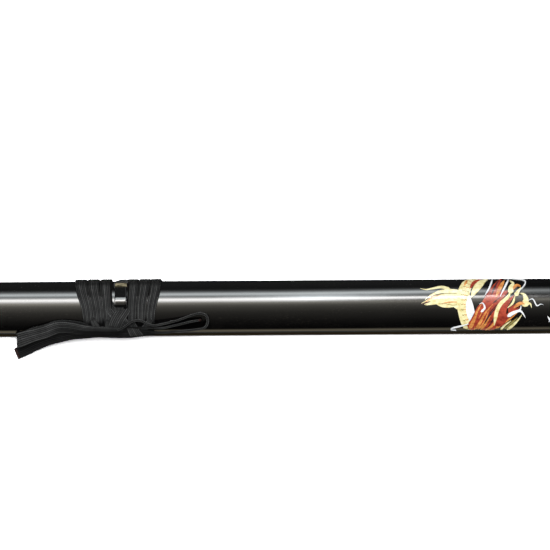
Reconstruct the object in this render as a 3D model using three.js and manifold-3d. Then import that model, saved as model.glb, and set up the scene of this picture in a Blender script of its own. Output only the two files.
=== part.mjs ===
// A straight black-lacquered sword scabbard with a cord knob and a tied flat cord.
// Millimetres. X runs along the scabbard, with the mouth at -X and the end cap at +X.
// It lies on its flat side, +Z up, cord knob on top; the cord's bow is on the -Y side.
// The origin is under the middle of the scabbard, on the surface that it lies on.

import * as THREE from 'three';
import { mergeVertices } from 'three/addons/utils/BufferGeometryUtils.js';
import Module from 'manifold-3d';

// ---- driving dimensions -------------------------------------------------------------
const LENGTH = 690;
const BODY_WIDTH = 38; // along Y, the way the blade is wide
const BODY_HEIGHT = 27; // along Z
const GAP = 0.3; // between pieces that touch
const FACETS = 24; // per half oval
const FINE_FACETS = 6; // per quarter turn of a small corner
const BEVEL_FACETS = 3;

const CORD_WIDTH = 8.4;
const CORD_THICKNESS = 1.7;
const TURNS = 3; // on each side of the knob
const TURN_PITCH = 8.3;
const GATHER = 0.23; // how much narrower the turns are where the bow pulls them together

const TENON_STEP = 2; // how far the wood steps in under the collar and the cap
const COLLAR_LENGTH = 12;
const COLLAR_LIP = 3;
const COLLAR_PROUD = 0.3;
const CAP_LENGTH = 32;
const CAP_WALL = 5;
const CAP_ROUND = 2.4;

const CHANNEL_WIDTH = 30;
const CHANNEL_HEIGHT = 8;
const CHANNEL_STOP = 306;
const THROAT_WIDTH = 31.6;
const THROAT_HEIGHT = 9.4;
const THROAT_CORNER = 2;

const KNOB_X = -241;
const KNOB_LENGTH = 10.1;
const KNOB_WIDTH = 18.6;
const KNOB_RISE = 8.6; // above the top of the body
const KNOB_EDGE = 1.1;
const KNOB_FLANK = 0.38; // of the rise, straight, before the arch rounds over
const KNOB_CROWN = 0.36; // of the width, how far the arch's flat top reaches each way
const KNOB_TENON = { length: 6.4, width: 13, depth: 5 };
const EYE_WIDTH = 6.8; // the cord is squeezed together in the eye
const EYE_HEIGHT = 3.4;
const EYE_CORNER = 1.4;
const EYE_LIFT = 2.9; // from the top of the body to the middle of the eye

const KNOT_LENGTH = 24;
const KNOT_THICKNESS = 2.4;
const STRANDS_END_LEFT = -266.4;
const STRANDS_END_RIGHT = -212.4;
const KNOT_ARC = [60, 108]; // degrees round the -Y side, from the top of the section
const CROSSING_ARC = [30, 100];
const CROSSING_OVER_ARC = [44, 59];
const ROUND_BACK_ARC = [101, 330]; // from under the knot to the knob's back

const LOOP_SOLID = { width: 5.5, thickness: 4.4 }; // the left loop, folded flat: both runs
const TIP_LENGTH = 1.4;
const ROUTE_STEPS = 3; // per route point

// Routes of the cord where it is free: x, y, z, and the tilt of its flat face, in degrees,
// where 0 faces -Y, 90 faces up and -30 stands on its edge on the body's -Y shoulder.
const END_LEFT = [
  [-267.4, -22.2, 17.6, 29],
  [-273, -21.8, 16.5, 32],
  [-281, -22.4, 14.4, 36],
  [-290.5, -22.9, 10.9, 44],
  [-299.5, -24.3, 6.2, 55],
  [-306, -26.5, 3.5, 66],
  [-311.5, -28.5, 2.1, 76],
];
const LOOP_LEFT = [
  [-267.4, -18.4, 24.4, 39],
  [-275, -18.6, 24.3, 38],
  [-283, -19.5, 23.1, 40],
  [-292, -21.6, 20.2, 44],
  [-301, -22.8, 17, 48],
  [-308, -23.5, 13.4, 55],
  [-313.5, -24.2, 10.6, 60],
];
const LOOP_RIGHT = [
  [-211.5, -19.3, 25.4, -30],
  [-207, -18.7, 26.3, -30],
  [-200.5, -17.5, 27.6, -30],
  [-191, -15, 30, -30],
  [-184.7, -14.2, 31, -30],
  [-179.6, -15.5, 30.4, -30],
  [-178.3, -17.9, 28.4, -30],
  [-179.2, -20.1, 25.2, -30],
  [-182.5, -21.3, 22.6, -30],
  [-191.6, -21.8, 21.2, -30],
  [-202, -22.1, 20, -30],
  [-211.5, -22.2, 19, -30],
];
const END_RIGHT = [
  [-211.5, -20.9, 22.8, -30],
  [-206, -20.3, 23.9, -30],
  [-200.5, -19.6, 25, -30],
  [-192.5, -18.4, 26.7, -30],
  [-186, -17.6, 27.5, -30],
];

// ---- derived sizes ------------------------------------------------------------------
const MOUTH_X = -LENGTH / 2;
const END_X = LENGTH / 2;
const WRAP_WIDTH = BODY_WIDTH + 2 * CORD_THICKNESS;
const WRAP_HEIGHT = BODY_HEIGHT + 2 * CORD_THICKNESS;
const AXIS_Z = WRAP_HEIGHT / 2;
const BODY_TOP = BODY_HEIGHT / 2;
const SHOULDER_MOUTH = MOUTH_X + COLLAR_LENGTH + GAP;
const SHOULDER_END = END_X - CAP_LENGTH - GAP;

const degrees = THREE.MathUtils.degToRad;
const wasm = await Module();
wasm.setup();

// ---- materials ----------------------------------------------------------------------
const lacquer = () => new THREE.MeshStandardMaterial({ color: 0x060607, roughness: 0.12, metalness: 0 });
const horn = () => new THREE.MeshStandardMaterial({ color: 0x08080a, roughness: 0.16, metalness: 0 });
const braid = () => new THREE.MeshStandardMaterial({ color: 0x2a2a2d, roughness: 0.85, metalness: 0 });
const seared = () => new THREE.MeshStandardMaterial({ color: 0x3a1c1c, roughness: 0.55, metalness: 0 });

// ---- solids and geometry ------------------------------------------------------------
function toSolid(geometry) {
  const bare = geometry.clone();
  bare.deleteAttribute('normal');
  bare.deleteAttribute('uv');
  const merged = mergeVertices(bare);
  return new wasm.Manifold(new wasm.Mesh({
    numProp: 3,
    vertProperties: Float32Array.from(merged.attributes.position.array),
    triVerts: Uint32Array.from(merged.index.array),
  }));
}

function toGeometry(solid) {
  const mesh = solid.getMesh();
  const geometry = new THREE.BufferGeometry();
  geometry.setAttribute('position', new THREE.BufferAttribute(mesh.vertProperties, 3));
  geometry.setIndex(new THREE.BufferAttribute(mesh.triVerts, 1));
  geometry.computeVertexNormals();
  return geometry;
}

// A shape drawn in the scabbard's section (x across, y up, from the axis), from one X to another.
function alongX(shape, from, to, { round = 0, facets = FACETS } = {}) {
  const geometry = new THREE.ExtrudeGeometry(shape, {
    depth: to - from - 2 * round,
    curveSegments: facets,
    bevelEnabled: round > 0,
    bevelSize: round,
    bevelThickness: round,
    bevelOffset: -round,
    bevelSegments: BEVEL_FACETS,
  });
  const turned = new THREE.Matrix4().makeBasis(
    new THREE.Vector3(0, 1, 0), new THREE.Vector3(0, 0, 1), new THREE.Vector3(1, 0, 0));
  geometry.applyMatrix4(turned);
  geometry.translate(from + round, 0, AXIS_Z);
  return geometry;
}

function box(from, to) {
  const size = to.map((value, i) => value - from[i]);
  const middle = to.map((value, i) => (value + from[i]) / 2);
  return new THREE.BoxGeometry(...size).translate(...middle);
}

function ovalShape(width, height) {
  const shape = new THREE.Shape();
  shape.absellipse(0, 0, width / 2, height / 2, 0, 2 * Math.PI, false, 0);
  return shape;
}

function ovalRingShape(width, height, thickness) {
  const shape = ovalShape(width, height);
  shape.holes.push(ovalShape(width - 2 * thickness, height - 2 * thickness));
  return shape;
}

// A band round the -Y side of an oval, between two angles measured from the top.
function arcBandShape(innerWidth, innerHeight, thickness, [start, end]) {
  const shape = new THREE.Shape();
  const [a, b] = [degrees(90 + start), degrees(90 + end)];
  shape.absellipse(0, 0, innerWidth / 2 + thickness, innerHeight / 2 + thickness, a, b, false, 0);
  shape.absellipse(0, 0, innerWidth / 2, innerHeight / 2, b, a, true, 0);
  shape.closePath();
  return shape;
}

function roundedSlotShape(width, height, corner) {
  const shape = new THREE.Shape();
  const [w, h] = [width / 2 - corner, height / 2 - corner];
  shape.absarc(w, h, corner, 0, Math.PI / 2, false);
  shape.absarc(-w, h, corner, Math.PI / 2, Math.PI, false);
  shape.absarc(-w, -h, corner, Math.PI, 1.5 * Math.PI, false);
  shape.absarc(w, -h, corner, 1.5 * Math.PI, 2 * Math.PI, false);
  shape.closePath();
  return shape;
}

// The turns keep their width over the top and the back, and are pulled narrower towards
// the knob on the -Y side, where the bow draws them together.
function gatherTowards(geometry, edgeX) {
  const position = geometry.attributes.position;
  for (let i = 0; i < position.count; i++) {
    const pull = THREE.MathUtils.smoothstep(-position.getY(i), -BODY_WIDTH / 4, BODY_WIDTH / 2);
    const x = edgeX + (position.getX(i) - edgeX) * (1 - GATHER * pull);
    position.setX(i, x);
  }
  return geometry;
}

// A flat strip whose middle follows a route, each of its sections turned to the route's tilt.
function strip(route, width, thickness) {
  const curve = new THREE.CatmullRomCurve3(
    route.map(([x, y, z]) => new THREE.Vector3(x, y, z)), false, 'centripetal');
  const spans = route.length - 1;
  const geometry = new THREE.BoxGeometry(1, width, thickness, spans * ROUTE_STEPS, 1, 1);
  const position = geometry.attributes.position;
  for (let i = 0; i < position.count; i++) {
    const along = THREE.MathUtils.clamp(position.getX(i) + 0.5, 0, 1);
    const at = Math.min(Math.floor(along * spans), spans - 1);
    const tilt = degrees(THREE.MathUtils.lerp(route[at][3], route[at + 1][3], along * spans - at));
    const tangent = curve.getTangent(along);
    const across = new THREE.Vector3(0, -Math.sin(tilt), -Math.cos(tilt));
    across.addScaledVector(tangent, -across.dot(tangent)).normalize();
    const face = new THREE.Vector3().crossVectors(tangent, across);
    const point = curve.getPoint(along)
      .addScaledVector(across, position.getY(i))
      .addScaledVector(face, position.getZ(i));
    position.setXYZ(i, point.x, point.y, point.z);
  }
  return geometry;
}

// The last stretch of a route, carried straight on past its end.
function beyond(route, length) {
  const [before, last] = route.slice(-2).map(([x, y, z]) => new THREE.Vector3(x, y, z));
  const ahead = last.clone().sub(before).normalize();
  const tilt = route[route.length - 1][3];
  const from = last.clone().addScaledVector(ahead, GAP);
  const to = from.clone().addScaledVector(ahead, length);
  return [[...from.toArray(), tilt], [...to.toArray(), tilt]];
}

function piece(name, geometry, material) {
  const mesh = new THREE.Mesh(geometry, material);
  mesh.name = name;
  return mesh;
}

// ---- the wooden body ----------------------------------------------------------------
function bodySolid() {
  const body = toSolid(alongX(ovalShape(BODY_WIDTH, BODY_HEIGHT), SHOULDER_MOUTH, SHOULDER_END));
  const tenonShape = ovalShape(BODY_WIDTH - 2 * TENON_STEP, BODY_HEIGHT - 2 * TENON_STEP);
  const tenons = toSolid(alongX(
    tenonShape, MOUTH_X + COLLAR_LIP + GAP, END_X - CAP_WALL - GAP));
  const channel = toSolid(box(
    [MOUTH_X - 1, -CHANNEL_WIDTH / 2, AXIS_Z - CHANNEL_HEIGHT / 2],
    [CHANNEL_STOP, CHANNEL_WIDTH / 2, AXIS_Z + CHANNEL_HEIGHT / 2]));
  return body.add(tenons).subtract(channel);
}

function woodHalf(side) {
  const seam = AXIS_Z + side * GAP / 2;
  const outer = AXIS_Z + side * BODY_HEIGHT;
  const keep = toSolid(box(
    [MOUTH_X, -BODY_WIDTH, Math.min(seam, outer)], [END_X, BODY_WIDTH, Math.max(seam, outer)]));
  return bodySolid().intersect(keep);
}

function knobMortise() {
  const { length, width, depth } = KNOB_TENON;
  return toSolid(box(
    [KNOB_X - length / 2 - GAP, -width / 2 - GAP, AXIS_Z + BODY_TOP - depth - GAP],
    [KNOB_X + length / 2 + GAP, width / 2 + GAP, AXIS_Z + BODY_HEIGHT]));
}

// ---- collar, cap and knob -----------------------------------------------------------
// A shape of the knob's eye, carried across the scabbard.
function throughKnob(shape, reach) {
  return alongX(shape, -reach, reach, { facets: FINE_FACETS })
    .rotateZ(Math.PI / 2)
    .translate(KNOB_X, 0, BODY_TOP + EYE_LIFT);
}

function mouthCollar() {
  const outer = toSolid(alongX(
    ovalShape(BODY_WIDTH + 2 * COLLAR_PROUD, BODY_HEIGHT + 2 * COLLAR_PROUD),
    MOUTH_X, MOUTH_X + COLLAR_LENGTH));
  const throat = toSolid(alongX(
    roundedSlotShape(THROAT_WIDTH, THROAT_HEIGHT, THROAT_CORNER),
    MOUTH_X - 1, MOUTH_X + COLLAR_LENGTH + 1, { facets: FINE_FACETS }));
  const play = 2 * (GAP - TENON_STEP);
  const socket = toSolid(alongX(
    ovalShape(BODY_WIDTH + play, BODY_HEIGHT + play),
    MOUTH_X + COLLAR_LIP, MOUTH_X + COLLAR_LENGTH + 1));
  return toGeometry(outer.subtract(throat).subtract(socket));
}

function endCap() {
  const outer = toSolid(alongX(
    ovalShape(WRAP_WIDTH, WRAP_HEIGHT), END_X - CAP_LENGTH, END_X, { round: CAP_ROUND }));
  const play = 2 * (GAP - TENON_STEP);
  const socket = toSolid(alongX(
    ovalShape(BODY_WIDTH + play, BODY_HEIGHT + play),
    END_X - CAP_LENGTH - 1, END_X - CAP_WALL));
  return toGeometry(outer.subtract(socket));
}

function cordKnob() {
  const arch = new THREE.Shape();
  const side = KNOB_WIDTH / 2;
  const foot = BODY_TOP / 2;
  const crown = BODY_TOP + KNOB_RISE;
  const flank = BODY_TOP + KNOB_RISE * KNOB_FLANK;
  const reach = KNOB_WIDTH * KNOB_CROWN;
  arch.moveTo(side, foot);
  arch.lineTo(side, flank);
  arch.bezierCurveTo(side, crown - KNOB_EDGE, reach, crown, 0, crown);
  arch.bezierCurveTo(-reach, crown, -side, crown - KNOB_EDGE, -side, flank);
  arch.lineTo(-side, foot);
  arch.closePath();
  const [from, to] = [KNOB_X - KNOB_LENGTH / 2, KNOB_X + KNOB_LENGTH / 2];
  const seat = toSolid(alongX(
    ovalShape(BODY_WIDTH + 2 * GAP, BODY_HEIGHT + 2 * GAP), from - 1, to + 1));
  const eye = toSolid(throughKnob(roundedSlotShape(EYE_WIDTH, EYE_HEIGHT, EYE_CORNER), KNOB_WIDTH));
  const { length, width, depth } = KNOB_TENON;
  const tenon = toSolid(box(
    [KNOB_X - length / 2, -width / 2, AXIS_Z + BODY_TOP - depth],
    [KNOB_X + length / 2, width / 2, AXIS_Z + BODY_TOP + 1]));
  const bridge = toSolid(alongX(arch, from, to, { round: KNOB_EDGE, facets: 2 * FINE_FACETS }))
    .subtract(seat);
  return toGeometry(bridge.add(tenon).subtract(eye));
}

// ---- the cord -----------------------------------------------------------------------
function cordTurn(side, index) {
  const edge = KNOB_X + side * (KNOB_LENGTH / 2 + GAP);
  const near = edge + side * (index * TURN_PITCH);
  const far = near + side * (TURN_PITCH - GAP);
  const shape = ovalRingShape(WRAP_WIDTH, WRAP_HEIGHT, CORD_THICKNESS - GAP);
  return gatherTowards(alongX(shape, Math.min(near, far), Math.max(near, far)), edge);
}

// Through the eye, and down in front of the knob and behind it.
function cordThroughKnob() {
  const [width, height] = [EYE_WIDTH - 2 * GAP, EYE_HEIGHT - 2 * GAP];
  const near = KNOB_WIDTH / 2 + GAP;
  const far = near + CORD_THICKNESS;
  const top = AXIS_Z + BODY_TOP + EYE_LIFT + height / 2;
  const bottom = AXIS_Z + BODY_TOP + GAP;
  const through = toSolid(throughKnob(roundedSlotShape(width, height, EYE_CORNER - GAP), near + GAP));
  const front = toSolid(box([KNOB_X - width / 2, -far, bottom], [KNOB_X + width / 2, -near, top]));
  const back = toSolid(box([KNOB_X - width / 2, near, bottom], [KNOB_X + width / 2, far, top]));
  return toGeometry(through.add(front).add(back));
}

function band(layer, thickness, arc, from, to) {
  const shape = arcBandShape(BODY_WIDTH + 2 * layer, BODY_HEIGHT + 2 * layer, thickness, arc);
  return alongX(shape, from, to);
}

function cordPieces() {
  const pieces = [];
  for (const [side, word] of [[-1, 'left'], [1, 'right']]) {
    for (let index = 0; index < TURNS; index++) {
      pieces.push(piece(`cord_turn_${word}_${index + 1}`, cordTurn(side, index), braid()));
    }
  }
  const half = KNOB_LENGTH / 2;
  const [gapFrom, gapTo] = [KNOB_X - half, KNOB_X + half];
  const outside = CORD_THICKNESS + GAP;
  const [knotFrom, knotTo] = [KNOB_X - KNOT_LENGTH / 2, KNOB_X + KNOT_LENGTH / 2];
  const under = band(GAP, CORD_THICKNESS - GAP, CROSSING_ARC, gapFrom, gapTo);
  const over = band(outside, CORD_THICKNESS, CROSSING_OVER_ARC, gapFrom, gapTo);
  const roundBack = band(GAP, CORD_THICKNESS - GAP, ROUND_BACK_ARC, gapFrom, gapTo);
  const knot = band(outside, KNOT_THICKNESS, KNOT_ARC, knotFrom, knotTo);
  const strandsLeft = band(outside, KNOT_THICKNESS, KNOT_ARC, STRANDS_END_LEFT, knotFrom - GAP);
  const strandsRight = band(outside, KNOT_THICKNESS, KNOT_ARC, knotTo + GAP, STRANDS_END_RIGHT);
  pieces.push(
    piece('cord_through_knob', cordThroughKnob(), braid()),
    piece('cord_round_back', roundBack, braid()),
    piece('cord_crossing_under', under, braid()),
    piece('cord_crossing_over', over, braid()),
    piece('cord_knot', knot, braid()),
    piece('cord_strands_left', strandsLeft, braid()),
    piece('cord_strands_right', strandsRight, braid()),
    piece('cord_loop_left', strip(LOOP_LEFT, LOOP_SOLID.width, LOOP_SOLID.thickness), braid()),
    piece('cord_loop_right', strip(LOOP_RIGHT, CORD_WIDTH - 2 * GAP, CORD_THICKNESS), braid()),
    piece('cord_end_left', strip(END_LEFT, CORD_WIDTH - 2 * GAP, CORD_THICKNESS), braid()),
    piece('cord_end_right', strip(END_RIGHT, CORD_WIDTH - 2 * GAP, CORD_THICKNESS), braid()),
    piece('cord_tip_left', strip(beyond(END_LEFT, TIP_LENGTH), CORD_WIDTH, CORD_THICKNESS), seared()),
    piece('cord_tip_right', strip(beyond(END_RIGHT, TIP_LENGTH), CORD_WIDTH, CORD_THICKNESS), seared()),
  );
  return pieces;
}

// ---- assembly -----------------------------------------------------------------------
const scabbard = new THREE.Group();
scabbard.add(
  piece('wood_half_upper', toGeometry(woodHalf(1).subtract(knobMortise())), lacquer()),
  piece('wood_half_lower', toGeometry(woodHalf(-1)), lacquer()),
  piece('mouth_collar', mouthCollar(), horn()),
  piece('end_cap', endCap(), horn()),
  piece('cord_knob', cordKnob(), horn()),
  ...cordPieces(),
);

export default scabbard;
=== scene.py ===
"""A straight black-lacquered scabbard with a cord knob and a tied flat cord, on a pale floor.

Metres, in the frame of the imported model: X along the scabbard with the mouth at -X, +Z up through
the cord knob, the bow on the -Y side, the origin on the floor under the scabbard's middle.
"""

import math

import bpy
import numpy as np
from mathutils import Matrix, Vector


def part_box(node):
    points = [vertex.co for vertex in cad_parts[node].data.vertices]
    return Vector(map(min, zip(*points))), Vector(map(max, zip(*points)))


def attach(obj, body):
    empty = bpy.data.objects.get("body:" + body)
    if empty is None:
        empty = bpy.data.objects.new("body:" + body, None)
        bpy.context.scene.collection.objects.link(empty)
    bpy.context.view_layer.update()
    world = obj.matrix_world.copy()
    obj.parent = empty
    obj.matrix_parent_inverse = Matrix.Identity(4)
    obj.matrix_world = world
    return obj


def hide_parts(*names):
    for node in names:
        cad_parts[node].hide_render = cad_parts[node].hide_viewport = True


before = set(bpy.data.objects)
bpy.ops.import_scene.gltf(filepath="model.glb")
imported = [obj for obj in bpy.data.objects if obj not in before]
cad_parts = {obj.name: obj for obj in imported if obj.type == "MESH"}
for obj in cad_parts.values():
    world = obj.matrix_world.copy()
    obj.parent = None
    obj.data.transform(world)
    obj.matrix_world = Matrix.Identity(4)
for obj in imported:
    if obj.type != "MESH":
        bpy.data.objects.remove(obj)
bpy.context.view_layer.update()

MM = 0.001

# ---- sizes, from the frame ----
BODY_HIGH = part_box("wood_half_upper")[1]
COLLAR_LOW, COLLAR_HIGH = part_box("mouth_collar")
CAP_LOW, CAP_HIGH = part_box("end_cap")
KNOB_LOW, KNOB_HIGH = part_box("cord_knob")

HALF_WIDTH = BODY_HIGH.y
AXIS_Z = (CAP_LOW.z + CAP_HIGH.z) / 2
HALF_HEIGHT = BODY_HIGH.z - AXIS_Z
MOUTH_X, END_X = COLLAR_LOW.x, CAP_HIGH.x
KNOB_X = (KNOB_LOW.x + KNOB_HIGH.x) / 2
KNOB_HALF = (KNOB_HIGH.x - KNOB_LOW.x) / 2
COAT = 0.08 * MM  # how thick the lacquer is
TENON_STEP = 2 * MM  # how far the wood steps in under the collar and the cap
GLUE_GAP = 0.3 * MM
BORE = (HALF_WIDTH - TENON_STEP + GLUE_GAP, HALF_HEIGHT - TENON_STEP + GLUE_GAP)

CORD_WIDTH = 8.4 * MM
CORD_THICKNESS = 1.7 * MM
CORD_RIBS = 7
STITCH = 1.25 * MM  # between stitches along the cord
BRAID_STEP = 0.34 * MM  # between sections along the cord
ACROSS = np.arange(CORD_RIBS * 4 + 1) / (CORD_RIBS * 4)  # the places across a strip, as shares
EVEN = ((0, 1), (1, 1))  # the same all along a strip
TURN_PITCH = 8.3 * MM
TURNS = 3  # on each side of the knob
LOOP_OPEN = 1.75  # millimetres, half the distance between the left loop's two runs

# ---- the cord's free routes ----
# x, y, z in millimetres and the tilt of its flat face in degrees: 0 faces -Y, 90 faces up and -30
# shows the camera its edge. They are the CAD model's points, with the right loop's bend drawn in
# by 2 mm, and the left loop's first two and last moved for the strip that goes out and back.
END_LEFT = [
    (-267.4, -22.2, 17.6, 29),
    (-273, -21.8, 16.5, 32),
    (-281, -22.4, 14.4, 36),
    (-290.5, -22.9, 10.9, 44),
    (-299.5, -24.3, 6.2, 55),
    (-306, -26.5, 3.5, 66),
    (-311.5, -28.5, 2.1, 76),
]
LOOP_LEFT = [
    (-267.4, -20.4, 22.0, 38),
    (-275, -19.5, 23.1, 38),
    (-283, -19.5, 23.1, 40),
    (-292, -21.6, 20.2, 44),
    (-301, -22.8, 17, 48),
    (-308, -23.5, 13.4, 55),
    (-309.6, -23.75, 12.5, 57),
]
LOOP_RIGHT = [
    (-211.5, -19.3, 25.4, -30),
    (-207, -18.7, 26.3, -30),
    (-200.5, -17.5, 27.6, -30),
    (-191, -15, 30, -30),
    (-185.7, -14.2, 31, -30),
    (-181.4, -15.5, 30.4, -30),
    (-180.3, -17.9, 28.4, -30),
    (-181.1, -20.1, 25.2, -30),
    (-184.0, -21.3, 22.6, -30),
    (-191.6, -21.8, 21.2, -30),
    (-202, -22.1, 20, -30),
    (-211.5, -22.2, 19, -30),
]
END_RIGHT = [
    (-211.5, -20.9, 22.8, -30),
    (-206, -20.3, 23.9, -30),
    (-200.5, -19.6, 25, -30),
    (-192.5, -18.4, 26.7, -30),
    (-186, -17.6, 27.5, -30),
]

# ---- camera ----
ELEVATION = math.radians(60)
PICTURE_WIDTH = 0.3792  # of the plane through the scabbard's axis
CAMERA_DISTANCE = 2.4
ROLL = math.radians(0.36)
AIM_X = -0.1341  # the picture's middle, along the scabbard
AIM_RISE = 0.0215  # and how far it is above the axis, seen by the camera
TO_CAMERA = Vector((0, -math.cos(ELEVATION), math.sin(ELEVATION)))
PICTURE_UP = Vector((0, math.sin(ELEVATION), math.cos(ELEVATION)))
LOOK_AT = Vector((AIM_X, 0, AXIS_Z)) + PICTURE_UP * AIM_RISE


def make_camera():
    data = bpy.data.cameras.new("camera")
    data.sensor_width = 36
    data.lens = data.sensor_width * CAMERA_DISTANCE / PICTURE_WIDTH
    data.clip_start, data.clip_end = 0.05, 50
    camera = bpy.data.objects.new("camera", data)
    camera.location = LOOK_AT + TO_CAMERA * CAMERA_DISTANCE
    turn = (-TO_CAMERA).to_track_quat("-Z", "Y").to_matrix() @ Matrix.Rotation(-ROLL, 3, "Z")
    camera.rotation_euler = turn.to_euler()
    bpy.context.scene.collection.objects.link(camera)
    bpy.context.scene.camera = camera


make_camera()


# ---- materials ----
class Nodes:
    """Short calls for building a node tree. They take a number, a colour or an output socket for
    each input, and return an output socket."""

    def __init__(self, name, owner=None):
        self.material = owner or bpy.data.materials.new(name)
        self.material.use_nodes = True
        self.tree = self.material.node_tree
        self.shader = self.tree.nodes.get("Principled BSDF")

    def feed(self, socket, value):
        if isinstance(value, bpy.types.NodeSocket):
            self.tree.links.new(value, socket)
        elif isinstance(value, tuple):
            socket.default_value = (*value, 1)
        else:
            socket.default_value = value

    def add(self, kind, **settings):
        """A new node. A setting is one of its inputs' values, or else one of its own."""
        node = self.tree.nodes.new(kind)
        for key, value in settings.items():
            if key in node.inputs:
                node.inputs[key].default_value = value
            else:
                setattr(node, key, value)
        return node

    def set(self, **values):
        """Values on the shader's own sockets."""
        for key, value in values.items():
            self.shader.inputs[key.replace("_", " ")].default_value = value

    def place(self, scale=(1, 1, 1)):
        """The object's own coordinates, which are the frame's, scaled."""
        mapping = self.add("ShaderNodeMapping", Scale=scale)
        self.feed(mapping.inputs["Vector"], self.add("ShaderNodeTexCoord").outputs["Object"])
        return mapping.outputs["Vector"]

    def split(self, vector):
        node = self.add("ShaderNodeSeparateXYZ")
        self.feed(node.inputs["Vector"], vector)
        return node.outputs

    def noise(self, scale, detail=3.0, roughness=0.5, stretch=(1, 1, 1)):
        node = self.add("ShaderNodeTexNoise", Scale=scale, Detail=detail, Roughness=roughness)
        self.feed(node.inputs["Vector"], self.place(stretch))
        return node.outputs["Fac"]

    def ramp(self, source, stops):
        node = self.add("ShaderNodeValToRGB")
        elements = node.color_ramp.elements
        while len(elements) < len(stops):
            elements.new(0.5)
        for element, (at, colour) in zip(elements, stops):
            element.position = at
            element.color = (*colour, 1)
        self.feed(node.inputs["Fac"], source)
        return node.outputs["Color"]

    def range(self, source, low, high, to_low=0.0, to_high=1.0, kind="LINEAR"):
        node = self.add("ShaderNodeMapRange", **{
            "interpolation_type": kind,
            "From Min": low, "From Max": high, "To Min": to_low, "To Max": to_high})
        self.feed(node.inputs["Value"], source)
        return node.outputs["Result"]

    def soft(self, source, *span):
        """A range with soft ends."""
        return self.range(source, *span, kind="SMOOTHSTEP")

    def math(self, operation, *values):
        node = self.add("ShaderNodeMath", operation=operation)
        for socket, value in zip(node.inputs, values):
            self.feed(socket, value)
        return node.outputs["Value"]

    def product(self, first, second):
        return self.math("MULTIPLY", first, second)

    def mix(self, share, first, second):
        """A colour between first and second."""
        node = self.add("ShaderNodeMix", data_type="RGBA")
        for socket, value in ((0, share), (6, first), (7, second)):
            self.feed(node.inputs[socket], value)
        return node.outputs[2]

    def paint(self, colour):
        self.feed(self.shader.inputs["Base Color"], colour)

    def roughen(self, source, least, most, high=0.7):
        """Roughness from least to most, as a value goes from 0.3 to high."""
        self.feed(self.shader.inputs["Roughness"], self.range(source, 0.3, high, least, most))

    def bump(self, source, strength, height=0.1 * MM):
        node = self.add("ShaderNodeBump", Strength=strength, Distance=height)
        self.feed(node.inputs["Height"], source)
        self.feed(self.shader.inputs["Normal"], node.outputs["Normal"])


def grey(value):
    return (value, value, value)


COAT_SHINE = {"IOR": 1.45, "Specular_IOR_Level": 0.36}
REFLECTION_FADE = 1.4 * MM  # how far the painted reflection on the horn takes to turn from black to pale
CONTACT_HALF = 14.9 * MM  # how far out the painted contact shadow reaches under the scabbard
# the colour of the painted contact shadow
PAINTED_CONTACT_SHADE = (0.055, 0.042, 0.024)
EXPOSED = (2.3, 2.3, 2.3)  # the floor's colour to the camera, so bright that it is white


def lacquer_material():
    """Black lacquer with a little dust, smudges that dull the shine, and faint orange peel."""
    m = Nodes("black_lacquer")
    m.set(**COAT_SHINE)
    dust = m.noise(1100, 4, 0.75, (0.6, 1, 1))
    speck = m.range(dust, 0.56, 0.72)
    patch = m.range(m.noise(26, 3, 0.6, (0.7, 2, 2)), 0.42, 0.66)
    tone = m.noise(22, 4, 0.6, (1, 6, 6))
    black = m.ramp(tone, [(0.3, (0.0012, 0.0011, 0.0013)), (0.75, (0.003, 0.0028, 0.0027))])
    m.paint(m.mix(m.product(speck, patch), black, (0.024, 0.022, 0.017)))
    smudge = m.noise(60, 4, 0.6, (0.4, 1.5, 1.5))
    m.roughen(m.math("ADD", smudge, m.range(dust, 0.3, 0.8, -0.12, 0.12)), 0.035, 0.1, high=0.75)
    orange_peel = m.noise(150, 3, 0.55, (0.5, 1, 1))
    m.bump(orange_peel, 0.16)
    return m.material


def horn_material(name, base, rough, painted_reflection_from=None):
    """Polished black horn. With painted_reflection_from it turns pale behind that place across the
    scabbard: a painted reflection, in streaks.
    """
    m = Nodes(name)
    m.set(IOR=1.5, Specular_IOR_Level=0.4)
    colour = m.ramp(m.noise(60, 4, 0.6), [(0.3, grey(base)), (0.8, grey(base * 2))])
    if painted_reflection_from is not None:
        # a painted reflection: pale streaks over the back of the knob
        streaks = m.noise(520, 3, 0.6, (0.3, 1, 1))
        pale = m.ramp(streaks, [(0.38, (0.03, 0.025, 0.012)), (0.62, (0.3, 0.265, 0.17))])
        back = m.soft(m.split(m.place())["Y"], painted_reflection_from, painted_reflection_from + REFLECTION_FADE)
        colour = m.mix(back, colour, pale)
    m.paint(colour)
    m.roughen(m.noise(500, 3, 0.6), rough, rough * 2)
    m.bump(m.noise(260, 2, 0.5), 0.12)
    return m.material


def cord_material():
    """Charcoal braid. Its weave_and_shade attribute says how high each place stands in its stitch,
    times the painted shade there. The ramp paints low values darker."""
    m = Nodes("charcoal_braid")
    m.set(IOR=1.45, Specular_IOR_Level=0.008)
    weave_and_shade = m.add("ShaderNodeAttribute", attribute_name="weave_and_shade").outputs["Fac"]
    fibre = m.noise(2400, 4, 0.7)
    height = m.product(weave_and_shade, m.range(fibre, 0.2, 0.8, 0.55, 1.35))
    height = m.product(height, m.range(m.noise(130, 2, 0.5), 0.3, 0.7, 0.8, 1.2))
    # painted shade: the grooves between stitches and the shaded places get the darkest colours
    m.paint(m.ramp(height, [(0.0, grey(0.003)), (0.3, (0.018, 0.0185, 0.0185)),
                            (0.65, (0.042, 0.043, 0.0425)), (1.0, (0.08, 0.082, 0.081))]))
    m.roughen(fibre, 0.5, 0.85)
    m.bump(fibre, 0.5)
    return m.material


def seared_material():
    """Braid melted to a dark red-brown bead."""
    m = Nodes("seared_tip")
    m.set(IOR=1.5, Specular_IOR_Level=0.05)
    tone = m.noise(1200, 3, 0.6)
    m.paint(m.ramp(tone, [(0.3, (0.007, 0.004, 0.004)), (0.8, (0.028, 0.012, 0.011))]))
    m.roughen(tone, 0.3, 0.6)
    m.bump(tone, 0.6, 0.2 * MM)
    return m.material


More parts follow.
